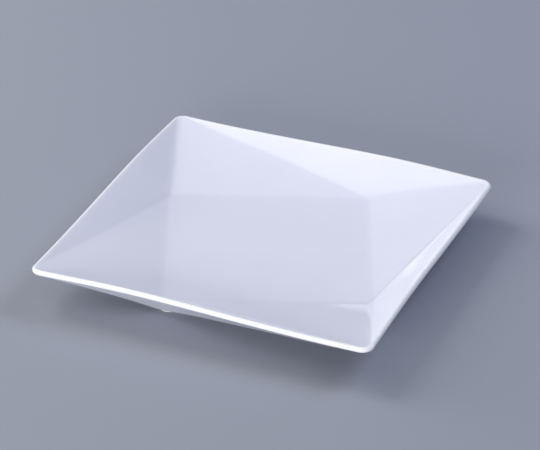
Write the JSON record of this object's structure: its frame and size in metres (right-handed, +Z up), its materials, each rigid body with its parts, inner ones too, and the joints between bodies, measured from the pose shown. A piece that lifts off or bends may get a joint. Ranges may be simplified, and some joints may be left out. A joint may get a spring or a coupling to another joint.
{
  "type": "plate",
  "caption": "Square glazed porcelain plate with a twisted well: its flat square floor is turned against the rim, and eight triangular walls join them.",
  "frame": {"origin": "centre of the foot ring's resting plane, on the plate's axis", "axes": "+Z up out of the well; +X and +Y square to the rim's sides"},
  "size_m": [0.27, 0.27, 0.033],
  "materials": {
    "porcelain": "bare fired porcelain",
    "glaze": "gloss"
  },
  "bodies": {
    "root": {"porcelain_body": "porcelain", "well_and_wall_glaze": "glaze", "base_glaze": "glaze"}
  },
  "joints": []
}
